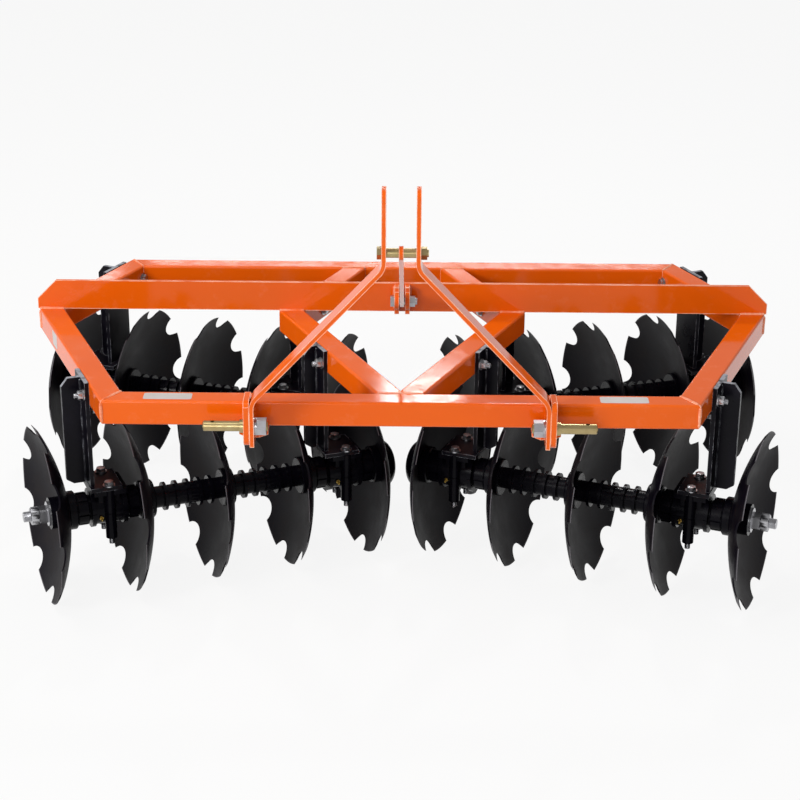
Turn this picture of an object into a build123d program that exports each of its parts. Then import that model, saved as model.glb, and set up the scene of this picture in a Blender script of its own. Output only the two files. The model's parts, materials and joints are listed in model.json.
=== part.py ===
# Mounted tandem disc harrow: twenty notched discs in four gangs under a frame of square tube.
# Millimetres. X runs across the machine, +Y points to its rear, +Z up, and the ground is z = 0.
import os
from math import atan2, cos, hypot, radians, sin

from build123d import *

os.makedirs("parts", exist_ok=True)

# Frame: 70 mm square tube, all bars at one level
tube = 70
tube_corner = 7
frame_top = 648
front_face_y = -645
wide_y = front_face_y + 737
rear_face_y = front_face_y + 1228
front_half = 802
wide_half = 1097
rear_half = 886
inner_bar_front = 64
inner_bar_wide = 372
inner_bar_rear = 197

# Middle beam: angle iron with its upright leg to the front
beam_leg = 90
beam_wall = 9
beam_half = 1102
beam_clip = 58

# Discs: dished plate with a bevelled edge, nine round notches and a square hole
disc_radius = 255
disc_depth = 65
disc_plate = 5
disc_flat = 56
disc_bevel = 13
disc_edge = 1.2
disc_count = 5
notch_count = 9
notch_radius = 40
notch_centre = 262
notch_start = 25.4
shaft_z = disc_radius
square_bar = 30
hole_play = 1

# Spools between the discs
flange_radius = 55
flange_length = 25
end_flange = 14
edge_chamfer = 3
neck_radius = 42
neck_length = 4
boss_radius = 47
groove_count = 8
groove_width = 9
groove_depth = 5
journal_radius = 36
journal_length = 112
rib_radius = 41
rib_core = 31
rib_count = 5
rib_width = 9
bell_radius = 75
bell_rim = 8
bell_length = 40
bell_flat = 34
bell_cap = 12

# Washer, hub and nut on the bar's threaded stub, outside the hollow of the first disc
spacer_radius = 45
washer_radius = 35
washer_plate = 6
washer_face = 16
hub_radius = 19
hub_length = 26
nut_flats = 46
nut_length = 33
stub_radius = 15
stub_reach = 51

# Bearing housings: two cast halves on long bolts in front of and behind the shaft
housing_width = 102
housing_radius = 50
housing_ring = 56
ring_length = 12
housing_top = 70
housing_half_depth = 62
pad_thickness = 14
web_depth = 84
web_width = 60
bolt_offset = 50
column_radius = 16
column_low = 77
lower_rib = 10
split_gap = 2
split_depth = 3
running_gap = 0.3

# Hangers: side plate on the bar, a rib out of its middle, and a foot over the housing
plate = 12
hanger_side = 120
rib_lift = 6
rib_top_chamfer = (19, 24)
rib_low_chamfer = (20, 14)
foot_half = 36
foot_margin = 14

# Three-point hitch, category 2
hitch_y = front_face_y - 60
hitch_z = 603
shoulder_half = 412.5
lug_plate = 16
lug_top = 684
lug_bottom = 556
lug_round = 22
base_half = 39
base_reach = 50
base_chamfer = 22
pin_radius = 14
pin_tip_radius = 11
pin_reach = 110
pin_hole_radius = 5.5
pin_hole_inset = 26
collar_radius = 18
collar_length = 12
pin_nut_flats = 41
pin_nut_length = 25
pin_washer_radius = 24
pin_washer_plate = 6
mast_gap = 77
mast_depth = 70
mast_top = 1257
mast_bend_z = 1050
mast_low_bend_z = 680
bend_radius = 45
link_hole_z = hitch_z + 610
link_hole_radius = 13
mast_bolt_z = 1086
bolt_radius = 9.9
bolt_hole_radius = 10
bolt_flats = 30
bolt_head = 12
bolt_nut = 16
spacer_tube_radius = 12.5
brace_width = 36
ear_gap = 9
ear_plate = 14
ear_radius = 27
ear_height = 84
clevis_reach = 32
clevis_lift = 44

# Where each gang's outermost disc stands, how far the gang is angled,
# and which way its hollow sides face: outwards in front, inwards at the rear
GANGS = (
    # row, rim centre x, rim centre y, gang angle, disc spacing, rib reach outer, inner, hollow side
    ("front", 1004, front_face_y + 113, 21.8, 235, 66, 50, "outward"),
    ("rear", 1043, front_face_y + 1154, 18.2, 225, 66, 66, "inward"),
)
SIDES = (("left", -1), ("right", 1))

# Quarter turns by which each disc is slid onto its square bar, from the outermost inwards
QUARTER_TURNS = {
    "front_left": (1, 0, 1, 2, 1),
    "front_right": (0, 1, 2, 1, 0),
    "rear_left": (3, 1, 2, 3, 0),
    "rear_right": (0, 2, 2, 2, 1),
}


def save(piece, name):
    """Labels a finished piece and writes its STEP file."""
    piece.label = name
    export_step(piece, f"parts/{name}.step")


def tube_bar(name, outline):
    """A length of square tube seen in plan, its long edges rounded."""
    with BuildPart() as bar:
        with BuildSketch(Plane.XY.offset(frame_top - tube)):
            with BuildLine():
                Polyline(*outline, close=True)
            make_face()
        extrude(amount=tube)
        flat = bar.edges().filter_by(Plane.XY)
        longest = flat.sort_by(Edge.length)[-4:]
        fillet(longest, tube_corner)
    save(bar.part, name)


# Frame tubes: each corner of a bar is where two faces meet in plan
side_run = wide_y - front_face_y
side_slope = (wide_half - front_half) / side_run
side_width = tube * hypot(1, side_slope)
rear_run = rear_face_y - wide_y
rear_slope = (wide_half - rear_half) / rear_run
rear_width = tube * hypot(1, rear_slope)
front_back_y = front_face_y + tube
rear_front_y = rear_face_y - tube
front_inner = front_half + side_slope * tube - side_width
rear_inner = rear_half + rear_slope * tube - rear_width

tube_bar("front_bar", [
    (-front_half, front_face_y), (front_half, front_face_y),
    (front_inner, front_back_y), (-front_inner, front_back_y),
])
tube_bar("rear_bar", [
    (-rear_half, rear_face_y), (rear_half, rear_face_y),
    (rear_inner, rear_front_y), (-rear_inner, rear_front_y),
])

inner_slope = (inner_bar_wide - inner_bar_front) / (wide_y - front_back_y)
inner_width = tube * hypot(1, inner_slope)
crotch_y = front_back_y + (inner_width - inner_bar_front) / inner_slope
rear_inner_slope = (inner_bar_wide - inner_bar_rear) / (rear_front_y - wide_y)
rear_inner_width = tube * hypot(1, rear_inner_slope)

for side, way in SIDES:
    tube_bar(f"front_side_bar_{side}", [
        (way * front_half, front_face_y), (way * wide_half, wide_y),
        (way * (wide_half - side_width), wide_y), (way * front_inner, front_back_y),
    ])
    tube_bar(f"rear_side_bar_{side}", [
        (way * rear_half, rear_face_y), (way * wide_half, wide_y),
        (way * (wide_half - rear_width), wide_y), (way * rear_inner, rear_front_y),
    ])
    tube_bar(f"front_inner_bar_{side}", [
        (0, front_back_y), (way * inner_bar_front, front_back_y), (way * inner_bar_wide, wide_y),
        (way * (inner_bar_wide - inner_width), wide_y), (0, crotch_y),
    ])
    tube_bar(f"rear_inner_bar_{side}", [
        (way * inner_bar_rear, rear_front_y), (way * inner_bar_wide, wide_y),
        (way * (inner_bar_wide - rear_inner_width), wide_y),
        (way * (inner_bar_rear - rear_inner_width), rear_front_y),
    ])

# Middle beam across the widest part, standing on the tubes, its upper corners clipped
with BuildPart() as middle_beam:
    with BuildSketch(Plane.YZ.offset(-beam_half)):
        with BuildLine():
            Polyline(
                (wide_y, frame_top), (wide_y + beam_leg, frame_top),
                (wide_y + beam_leg, frame_top + beam_wall), (wide_y + beam_wall, frame_top + beam_wall),
                (wide_y + beam_wall, frame_top + beam_leg), (wide_y, frame_top + beam_leg),
                close=True,
            )
        make_face()
    extrude(amount=2 * beam_half)
    top_corners = middle_beam.edges().filter_by(Axis.Y).group_by(Axis.Z)[-1]
    chamfer(top_corners, beam_clip)
save(middle_beam.part, "middle_beam")

# Hitch lugs on their base plates, mast struts inside them, and the lower hitch pins
strut_outer = shoulder_half - lug_plate
strut_inner = strut_outer - plate
upright_outer = mast_gap / 2 + plate
lug_front_y = hitch_y - mast_depth / 2
for side, way in SIDES:
    with BuildPart() as lug:
        with BuildSketch(Plane.YZ.offset(way * strut_outer)):
            with BuildLine():
                Polyline(
                    (front_face_y, lug_top), (front_face_y, frame_top - tube),
                    (hitch_y + mast_depth / 2, lug_bottom), (lug_front_y, lug_bottom),
                    (lug_front_y, lug_top), close=True,
                )
            lug_face = make_face()
            fillet(lug_face.vertices().group_by(Axis.Z)[-1], lug_round)
            with Locations((hitch_y, hitch_z)):
                Circle(pin_radius, mode=Mode.SUBTRACT)
        extrude(amount=way * lug_plate)
        base_front = front_face_y - base_reach
        with BuildSketch(Plane.XY.offset(frame_top - tube - plate)):
            with Locations((way * (strut_outer - plate / 2), (base_front + front_face_y + tube) / 2)):
                Rectangle(2 * base_half, base_reach + tube)
            front_corners = vertices().group_by(Axis.Y)[0]
            chamfer(front_corners, base_chamfer)
            with Locations((way * (strut_inner + plate / 2), hitch_y)):
                Rectangle(plate, mast_depth, mode=Mode.SUBTRACT)
        extrude(amount=plate)
    save(lug.part, f"hitch_lug_{side}")

    with BuildPart() as strut:
        with BuildSketch(Plane.XZ.offset(-(hitch_y + mast_depth / 2))):
            with BuildLine() as centre:
                FilletPolyline(
                    (way * (strut_outer - plate / 2), lug_bottom),
                    (way * (strut_outer - plate / 2), mast_low_bend_z),
                    (way * (upright_outer - plate / 2), mast_bend_z),
                    (way * (upright_outer - plate / 2), mast_top),
                    radius=bend_radius,
                )
            trace(centre.line, line_width=plate)
        extrude(amount=mast_depth)
        for hole_z, hole_radius in (
            (hitch_z, pin_radius), (link_hole_z, link_hole_radius), (mast_bolt_z, bolt_hole_radius)
        ):
            with BuildSketch(Plane.YZ):
                with Locations((hitch_y, hole_z)):
                    Circle(hole_radius)
            extrude(amount=2 * strut_outer, both=True, mode=Mode.SUBTRACT)
        top_edges = strut.edges().filter_by(Axis.X).group_by(Axis.Z)[-1]
        fillet(top_edges, 20)
    save(strut.part, f"mast_strut_{side}")

    pin_end = strut_inner - pin_washer_plate - pin_nut_length - 4
    tip = shoulder_half + pin_reach
    with BuildPart() as pin:
        with BuildSketch(Plane.XZ):
            with BuildLine():
                Polyline(
                    (pin_end, 0), (pin_end, pin_tip_radius), (pin_end + edge_chamfer, pin_radius),
                    (shoulder_half, pin_radius), (shoulder_half, collar_radius),
                    (shoulder_half + collar_length, collar_radius), (shoulder_half + collar_length, pin_radius),
                    (tip - edge_chamfer, pin_radius), (tip, pin_tip_radius), (tip, 0), close=True,
                )
            make_face()
        revolve(axis=Axis.X)
        with BuildSketch(Plane.XY):
            with Locations((tip - pin_hole_inset, 0)):
                Circle(pin_hole_radius)
        extrude(amount=pin_radius * 2, both=True, mode=Mode.SUBTRACT)
    placed = pin.part if way > 0 else mirror(pin.part, about=Plane.YZ)
    placed = placed.moved(Location((0, hitch_y, hitch_z)))
    save(placed, f"hitch_pin_{side}")

# Washer and nut that hold each hitch pin against the inside of its strut
with BuildPart() as pin_nuts:
    for side, way in SIDES:
        face = Plane(origin=(way * strut_inner, hitch_y, hitch_z), x_dir=(0, 1, 0), z_dir=(-way, 0, 0))
        with BuildSketch(face):
            Circle(pin_washer_radius)
            Circle(pin_radius, mode=Mode.SUBTRACT)
        extrude(amount=pin_washer_plate)
        with BuildSketch(face.offset(pin_washer_plate)):
            RegularPolygon(pin_nut_flats / 2, 6, major_radius=False)
            Circle(pin_radius, mode=Mode.SUBTRACT)
        extrude(amount=pin_nut_length)
save(pin_nuts.part, "pin_nuts")


def cross_bolt(origin, half_grip, tail):
    """A hexagon bolt across the harrow with its nut, its grip centred on the origin."""
    middle = Plane(origin=origin, x_dir=(0, 1, 0), z_dir=(1, 0, 0))
    with BuildPart() as bolt:
        with BuildSketch(middle.offset(-half_grip)):
            Circle(bolt_radius)
        extrude(amount=2 * half_grip + bolt_nut + tail)
        for start, length in ((-half_grip - bolt_head, bolt_head), (half_grip, bolt_nut)):
            with BuildSketch(middle.offset(start)):
                RegularPolygon(bolt_flats / 2, 6, major_radius=False)
            extrude(amount=length)
    return bolt.part


# Mast bolt with a spacer tube each side of the brace
brace_half = plate / 2
with BuildPart() as mast_bolt:
    add(cross_bolt((0, hitch_y, mast_bolt_z), upright_outer, 4))
    for way in (-1, 1):
        with BuildSketch(Plane.YZ.offset(way * brace_half)):
            with Locations((hitch_y, mast_bolt_z)):
                Circle(spacer_tube_radius)
        extrude(amount=way * (mast_gap / 2 - brace_half))
save(mast_bolt.part, "mast_bolt")

# Top brace: a flat bar on edge from the mast bolt down to the clevis on the middle beam
clevis_y = wide_y - clevis_reach
clevis_z = frame_top + clevis_lift
brace_rise = mast_bolt_z - clevis_z
brace_run = clevis_y - hitch_y
brace_length = hypot(brace_rise, brace_run)
with BuildPart() as top_brace:
    brace_plane = Plane(
        origin=(-brace_half, clevis_y, clevis_z), x_dir=(0, -brace_run, brace_rise), z_dir=(1, 0, 0)
    )
    with BuildSketch(brace_plane):
        with Locations((brace_length / 2, 0)):
            SlotOverall(brace_length + brace_width, brace_width)
        with Locations((0, 0), (brace_length, 0)):
            Circle(bolt_hole_radius, mode=Mode.SUBTRACT)
    extrude(amount=plate)
save(top_brace.part, "top_brace")

# Clevis: two ears welded to the beam's face, rounded about their bolt
with BuildPart() as brace_clevis:
    for way in (-1, 1):
        with BuildSketch(Plane.YZ.offset(way * ear_gap)):
            with Locations((clevis_y, clevis_z)):
                Circle(ear_radius)
            with Locations(((clevis_y + wide_y) / 2, clevis_z)):
                Rectangle(clevis_reach, ear_height)
            with Locations((clevis_y, clevis_z)):
                Circle(bolt_radius, mode=Mode.SUBTRACT)
        extrude(amount=way * ear_plate)
save(brace_clevis.part, "brace_clevis")
save(cross_bolt((0, clevis_y, clevis_z), ear_gap + ear_plate, 6), "clevis_bolt")


def half_section(points):
    """A closed half section from (along the shaft, radius) points, to be turned about the shaft."""
    with BuildSketch(Plane.XZ) as section:
        with BuildLine():
            Polyline(*[(radius, along) for along, radius in points], close=True)
        make_face()
    return section.sketch


# The square hole of every piece on the bar
with BuildSketch() as square_hole:
    Rectangle(square_bar + hole_play, square_bar + hole_play)


# One disc, its rim in the plane z = 0 and its dished back towards +Z
def dish_z(radius):
    """Height of the hollow face above the rim plane."""
    return disc_depth * (disc_radius ** 2 - radius ** 2) / (disc_radius ** 2 - disc_flat ** 2)


with BuildPart() as disc:
    with BuildSketch(Plane.XZ):
        with BuildLine():
            mid_radius = (disc_radius + disc_flat) / 2
            bevel_radius = disc_radius - disc_bevel
            Line((0, disc_depth), (disc_flat, disc_depth))
            ThreePointArc((disc_flat, disc_depth), (mid_radius, dish_z(mid_radius)), (disc_radius, 0))
            Line((disc_radius, 0), (disc_radius, disc_edge))
            Line((disc_radius, disc_edge), (bevel_radius, dish_z(bevel_radius) + disc_plate))
            ThreePointArc(
                (bevel_radius, dish_z(bevel_radius) + disc_plate),
                (mid_radius, dish_z(mid_radius) + disc_plate), (disc_flat, disc_depth + disc_plate),
            )
            Line((disc_flat, disc_depth + disc_plate), (0, disc_depth + disc_plate))
            Line((0, disc_depth + disc_plate), (0, disc_depth))
        make_face()
    revolve(axis=Axis.Z)
    with BuildSketch(Plane.XY.offset(-disc_depth)):
        with PolarLocations(notch_centre, notch_count, start_angle=notch_start):
            Circle(notch_radius)
    extrude(amount=3 * disc_depth, mode=Mode.SUBTRACT)
    extrude(square_hole.sketch, amount=2 * disc_depth, mode=Mode.SUBTRACT)


def bearing_spool(length):
    """Spool that runs in a bearing: flange, grooved boss, journal, boss and flange."""
    boss_end = (length - journal_length) / 2
    half = [
        (0, 0), (0, flange_radius - edge_chamfer), (edge_chamfer, flange_radius),
        (flange_length - edge_chamfer, flange_radius), (flange_length, flange_radius - edge_chamfer),
        (flange_length, neck_radius), (flange_length + neck_length, neck_radius),
        (flange_length + neck_length, boss_radius), (boss_end - edge_chamfer, boss_radius),
        (boss_end, boss_radius - edge_chamfer), (boss_end, journal_radius),
    ]
    with BuildPart() as spool:
        revolve(half_section(half + [(length - along, radius) for along, radius in reversed(half)]), axis=Axis.Z)
        for start in (flange_length, length - boss_end):
            with BuildSketch(Plane.XY.offset(start)):
                with PolarLocations(boss_radius, groove_count):
                    Rectangle(2 * groove_depth, groove_width)
            extrude(amount=boss_end - flange_length, mode=Mode.SUBTRACT)
        extrude(square_hole.sketch, amount=length, mode=Mode.SUBTRACT)
    return spool.part


def ribbed_spool(length):
    """Spacer spool: flanges at the ends and rings along its waist."""
    waist = length - 2 * end_flange
    rings = [(end_flange, flange_radius - edge_chamfer), (end_flange, rib_core)]
    for ring in range(rib_count):
        middle = end_flange + waist * (ring + 1) / (rib_count + 1)
        rings += [
            (middle - rib_width / 2, rib_core), (middle - rib_width / 2, rib_radius),
            (middle + rib_width / 2, rib_radius), (middle + rib_width / 2, rib_core),
        ]
    rings += [(length - end_flange, rib_core), (length - end_flange, flange_radius - edge_chamfer)]
    near = [(0, 0), (0, flange_radius), (end_flange - edge_chamfer, flange_radius)]
    far = [(length - along, radius) for along, radius in reversed(near)]
    with BuildPart() as spool:
        revolve(half_section(near + rings + far), axis=Axis.Z)
        extrude(square_hole.sketch, amount=length, mode=Mode.SUBTRACT)
    return spool.part


# Spacer in the hollow of the first disc, between its flat and the washer
with BuildPart() as hollow_spacer:
    with BuildSketch(Plane.XY.offset(disc_depth)):
        Circle(spacer_radius)
        Rectangle(square_bar + hole_play, square_bar + hole_play, mode=Mode.SUBTRACT)
    extrude(amount=washer_face + washer_plate - disc_depth)

# End bell beyond the last disc's back
with BuildPart() as end_bell:
    with BuildSketch(Plane.XZ):
        with BuildLine():
            Polyline((bell_radius, bell_rim), (bell_radius, 0), (0, 0), (0, bell_length), (bell_flat, bell_length))
            ThreePointArc((bell_flat, bell_length), (bell_radius - 13, 27), (bell_radius, bell_rim))
        make_face()
    revolve(axis=Axis.Z)
    extrude(square_hole.sketch, amount=bell_length - bell_cap, mode=Mode.SUBTRACT)


def gang_bar(spacing):
    """Square bar through a gang, with the washer, hub and nut that clamp it from its hollow end."""
    back = (disc_count - 1) * spacing + disc_depth + disc_plate + bell_length - bell_cap - 2
    hub_end = washer_face - hub_length
    with BuildPart() as bar:
        with BuildSketch(Plane.XY.offset(hub_end)):
            Rectangle(square_bar - 4, square_bar - 4)
        extrude(amount=washer_face - hub_end)
        with BuildSketch(Plane.XY.offset(washer_face)):
            Rectangle(square_bar, square_bar)
        extrude(amount=back - washer_face)
        for start, end, radius in (
            (washer_face, washer_face + washer_plate, washer_radius),
            (hub_end, washer_face, hub_radius), (-stub_reach, hub_end, stub_radius),
        ):
            with BuildSketch(Plane.XY.offset(start)):
                Circle(radius)
            extrude(amount=end - start)
        with BuildSketch(Plane.XY.offset(hub_end - nut_length)):
            RegularPolygon(nut_flats / 2, 6, major_radius=False)
        extrude(amount=nut_length)
    return bar.part


# Bearing housing: two cast halves, barrel, pad, columns for the long bolts and a rib below
with BuildPart() as housing:
    half_width = housing_width / 2
    bore_radius = journal_radius + running_gap
    revolve(half_section([
        (-half_width, bore_radius), (-half_width, housing_ring), (ring_length - half_width, housing_ring),
        (ring_length - half_width, housing_radius), (half_width - ring_length, housing_radius),
        (half_width - ring_length, housing_ring), (half_width, housing_ring), (half_width, bore_radius),
    ]), axis=Axis.Z)
    top_plane = Plane.YZ.offset(-housing_top)
    with BuildSketch(top_plane):
        Rectangle(2 * housing_half_depth, housing_width)
        chamfer(vertices(), 2 * edge_chamfer)
    extrude(amount=pad_thickness)
    with BuildSketch(top_plane):
        Rectangle(web_depth, web_width)
    extrude(amount=housing_top)
    with BuildSketch(top_plane):
        with Locations((-bolt_offset, 0), (bolt_offset, 0)):
            Circle(column_radius)
    extrude(amount=housing_top + column_low)
    with BuildSketch(Plane.XY):
        with BuildLine():
            Polyline(
                (0, -bolt_offset), (column_low - edge_chamfer, -bolt_offset), (housing_ring, 0),
                (column_low - edge_chamfer, bolt_offset), (0, bolt_offset), close=True,
            )
        make_face()
    extrude(amount=lower_rib / 2, both=True)
    with BuildSketch(Plane.YZ.offset(-split_gap / 2)):
        Rectangle(4 * housing_half_depth, 2 * housing_width)
        Rectangle(2 * (housing_ring - split_depth), housing_width - 2 * split_depth, mode=Mode.SUBTRACT)
        with Locations((-bolt_offset, 0), (bolt_offset, 0)):
            Circle(column_radius - split_depth, mode=Mode.SUBTRACT)
    extrude(amount=split_gap, mode=Mode.SUBTRACT)
    with BuildSketch(Plane.XY.offset(-half_width)):
        Circle(bore_radius)
    extrude(amount=housing_width, mode=Mode.SUBTRACT)

# Each gang's pieces are placed from one plane: origin at the outermost rim's centre,
# local Z inwards along the bar and local X straight down
for row, rim_x, rim_y, angle, spacing, outer_reach, inner_reach, hollow in GANGS:
    lean = radians(angle)
    trail = 1 if row == "front" else -1
    spool_length = spacing - disc_plate
    bearing_piece = bearing_spool(spool_length)
    ribbed_piece = ribbed_spool(spool_length)
    bar_piece = gang_bar(spacing)
    for side, way in SIDES:
        inward = (-way * cos(lean), trail * sin(lean), 0)
        start = Plane(origin=(way * rim_x, rim_y, shaft_z), x_dir=(0, 0, -1), z_dir=inward)
        rims = [start.offset(spacing * number) for number in range(disc_count)]
        turns = QUARTER_TURNS[f"{row}_{side}"]
        if hollow == "inward":
            # The same pieces turned end for end, from the innermost disc outwards
            turns = turns[::-1]
            rims = [
                Plane(origin=rim.origin, x_dir=rim.x_dir, z_dir=-rim.z_dir) for rim in reversed(rims)
            ]
        backs = [rim.offset(disc_depth + disc_plate) for rim in rims]
        disc_planes = []
        for rim, quarter in zip(rims, turns):
            square_sides = (rim.x_dir, rim.y_dir, -rim.x_dir, -rim.y_dir)
            disc_planes.append(Plane(origin=rim.origin, x_dir=square_sides[quarter], z_dir=rim.z_dir))
        with BuildPart() as discs:
            with Locations(*disc_planes):
                add(disc.part)
        save(discs.part, f"discs_{row}_{side}")
        with BuildPart() as spools:
            with Locations(rims[0]):
                add(hollow_spacer.part)
            with Locations(backs[0], backs[3]):
                add(bearing_piece)
            with Locations(backs[1], backs[2]):
                add(ribbed_piece)
        save(spools.part, f"spools_{row}_{side}")
        with BuildPart() as bell:
            with Locations(backs[4]):
                add(end_bell.part)
        save(bell.part, f"end_bell_{row}_{side}")
        with BuildPart() as bar:
            with Locations(rims[0]):
                add(bar_piece)
        save(bar.part, f"gang_bar_{row}_{side}")

        # Housings and hangers, one pair by the side bar and one by the inner bar
        outer, inner = (0, 3) if hollow == "outward" else (3, 0)
        for place, index, reach in (("outer", outer, outer_reach), ("inner", inner, inner_reach)):
            seat = backs[index].offset(spool_length / 2)
            with BuildPart() as seated:
                with Locations(seat):
                    add(housing.part)
            save(seated.part, f"housing_{row}_{place}_{side}")

            # The bar's outer face as x = face_x + face_slope * (y - bearing y), on the right side
            bearing_y = seat.origin.Y
            if row == "front" and place == "outer":
                face_x, face_slope = front_half + side_slope * (bearing_y - front_face_y), side_slope
            elif row == "front":
                face_x = inner_bar_front + inner_slope * (bearing_y - front_back_y)
                face_slope = inner_slope
            elif place == "outer":
                face_x, face_slope = rear_half + rear_slope * (rear_face_y - bearing_y), -rear_slope
            else:
                face_x = inner_bar_rear + rear_inner_slope * (rear_front_y - bearing_y)
                face_slope = -rear_inner_slope
            turn = atan2(face_slope, 1)
            foot_z = shaft_z + housing_top
            height = frame_top - foot_z
            # Planes at the bar's outer face by the bearing: one seen in plan, one standing across the bar
            corner = Vector(way * face_x, bearing_y, foot_z)
            outward = Vector(way * cos(turn), -sin(turn), 0)
            plan = Plane(origin=corner, x_dir=outward, z_dir=(0, 0, 1))
            across = Plane(origin=corner, x_dir=outward, z_dir=outward.cross(Vector(0, 0, 1)))
            foot_plane = Plane(
                origin=seat.origin + Vector(0, 0, housing_top), x_dir=seat.z_dir, z_dir=(0, 0, 1)
            )
            with BuildPart() as hanger:
                with BuildSketch(plan):
                    with Locations((plate / 2, 0)):
                        Rectangle(plate, hanger_side)
                extrude(amount=height)
                with BuildSketch(across):
                    with BuildLine():
                        Polyline(
                            (0, rib_lift), (reach - rib_low_chamfer[0], rib_lift),
                            (reach, rib_lift + rib_low_chamfer[1]), (reach, height - rib_top_chamfer[1]),
                            (reach - rib_top_chamfer[0], height), (0, height), close=True,
                        )
                    make_face()
                extrude(amount=plate / 2, both=True)
                face_offset = (corner - seat.origin).dot(seat.z_dir)
                low = min(-foot_half, face_offset - foot_margin)
                high = max(foot_half, face_offset + foot_margin)
                with BuildSketch(foot_plane):
                    with Locations(((low + high) / 2, 0)):
                        Rectangle(high - low, 2 * housing_half_depth)
                extrude(amount=plate)
            save(hanger.part, f"hanger_{row}_{place}_{side}")
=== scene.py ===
# Looks of a mounted disc harrow: glossy orange frame, black discs and bearings, zinc-plated fasteners.
# Metres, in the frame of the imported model: X across, +Y to the rear, +Z up, the ground at z = 0.
import json
from math import atan2, cos, hypot, pi, radians, sin

import bpy
import numpy as np
from mathutils import Matrix, Vector


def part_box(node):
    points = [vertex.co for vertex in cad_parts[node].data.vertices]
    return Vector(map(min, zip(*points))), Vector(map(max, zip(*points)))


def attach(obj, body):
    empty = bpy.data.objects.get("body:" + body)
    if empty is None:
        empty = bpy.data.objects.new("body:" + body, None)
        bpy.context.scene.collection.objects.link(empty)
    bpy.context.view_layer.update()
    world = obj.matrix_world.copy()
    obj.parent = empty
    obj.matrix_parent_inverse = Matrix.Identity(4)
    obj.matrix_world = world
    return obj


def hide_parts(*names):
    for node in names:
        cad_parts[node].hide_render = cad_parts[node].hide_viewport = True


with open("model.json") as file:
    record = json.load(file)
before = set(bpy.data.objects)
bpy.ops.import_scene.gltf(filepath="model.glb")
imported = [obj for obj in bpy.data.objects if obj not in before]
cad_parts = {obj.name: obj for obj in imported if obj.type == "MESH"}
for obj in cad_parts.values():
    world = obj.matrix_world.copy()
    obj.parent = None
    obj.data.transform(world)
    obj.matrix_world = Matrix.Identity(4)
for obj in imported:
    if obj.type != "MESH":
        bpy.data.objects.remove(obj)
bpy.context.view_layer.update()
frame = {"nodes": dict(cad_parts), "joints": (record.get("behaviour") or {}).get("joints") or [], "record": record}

# Camera: a long lens in front of the harrow, a little over its middle and looking down at it.
# It is held by hand, so it turns and leans by a fraction of a degree.
camera_place = Vector((0.0216, -5.3188, 2.5541))
camera_down = radians(22.09)
camera_yaw = radians(-0.275)
camera_roll = radians(0.407)
camera_lens = 85.17
camera_reach = 200
sensor_width = 36.0

forward = Vector((
    sin(camera_yaw) * cos(camera_down), cos(camera_yaw) * cos(camera_down), -sin(camera_down)))
level = Vector((cos(camera_yaw), -sin(camera_yaw), 0))
over = level.cross(forward)
to_right = level * cos(camera_roll) + over * sin(camera_roll)
upwards = over * cos(camera_roll) - level * sin(camera_roll)
camera_data = bpy.data.cameras.new("camera")
camera_data.lens = camera_lens
camera_data.sensor_width = sensor_width
camera_data.clip_end = camera_reach
camera = bpy.data.objects.new("camera", camera_data)
camera_axes = Matrix((to_right, upwards, -forward)).transposed()
camera.matrix_world = Matrix.Translation(camera_place) @ camera_axes.to_4x4()
bpy.context.collection.objects.link(camera)
bpy.context.scene.camera = camera
bpy.context.scene.view_settings.view_transform = "Standard"


# Floor and light: a white studio floor, a key lamp from the front left, softer panels ahead and above,
# and small lamps behind the harrow, which its glossy paint mirrors towards the camera.
# The floor mixes white with its own lit surface, so it is nearly white and still keeps the soft shadow.
floor_half = 90.0
floor_colour = "D9D8D6"
floor_roughness = 0.9
floor_white_share = 0.89
world_colour = "FFFFFF"
world_level = 0.45
sharp_bend = radians(35)


def linear(hex_colour):
    """An sRGB hex colour as linear RGBA: each channel through the sRGB curve."""
    channels = [int(hex_colour[place:place + 2], 16) / 255 for place in (0, 2, 4)]
    straight = [c / 12.92 if c <= 0.04045 else ((c + 0.055) / 1.055) ** 2.4 for c in channels]
    return (*straight, 1.0)


def plug(tree, node, inputs):
    """Fills a node's sockets, each with a value to set or a socket to link."""
    for name, value in inputs.items():
        if isinstance(value, bpy.types.NodeSocket):
            tree.links.new(value, node.inputs[name])
        else:
            node.inputs[name].default_value = value


def add(tree, kind, inputs=None, **settings):
    """Adds one node: settings are its properties, inputs its sockets."""
    made = tree.nodes.new(kind)
    for name, value in settings.items():
        setattr(made, name, value)
    plug(tree, made, inputs or {})
    return made


def new_material(name):
    """An empty node material, its tree and its shader, whose output is linked."""
    material = bpy.data.materials.new(name)
    material.use_nodes = True
    tree = material.node_tree
    tree.nodes.clear()
    shader = add(tree, "ShaderNodeBsdfPrincipled")
    add(tree, "ShaderNodeOutputMaterial", {"Surface": shader.outputs["BSDF"]})
    return material, tree, shader


def put(name, points, faces, material, smooth=True):
    """A mesh object at the origin, from points and faces. A smooth one is sharp at its strong bends."""
    mesh = bpy.data.meshes.new(name)
    mesh.from_pydata(np.asarray(points, float).tolist(), [], np.asarray(faces, int).tolist())
    if smooth:
        mesh.shade_smooth()
        mesh.set_sharp_from_angle(angle=sharp_bend)
    mesh.materials.append(material)
    piece = bpy.data.objects.new(name, mesh)
    bpy.context.collection.objects.link(piece)
    return piece


def seen_directly(tree):
    """1 for camera, mirrored and see-through rays, and 0 for the diffuse ones that light things."""
    path = add(tree, "ShaderNodeLightPath")
    mirrored = add(tree, "ShaderNodeMath", {
        0: path.outputs["Is Camera Ray"], 1: path.outputs["Is Glossy Ray"]}, operation="MAXIMUM")
    seen = add(tree, "ShaderNodeMath", {
        0: mirrored.outputs["Value"], 1: path.outputs["Is Transmission Ray"]}, operation="MAXIMUM")
    return seen.outputs["Value"]


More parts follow.
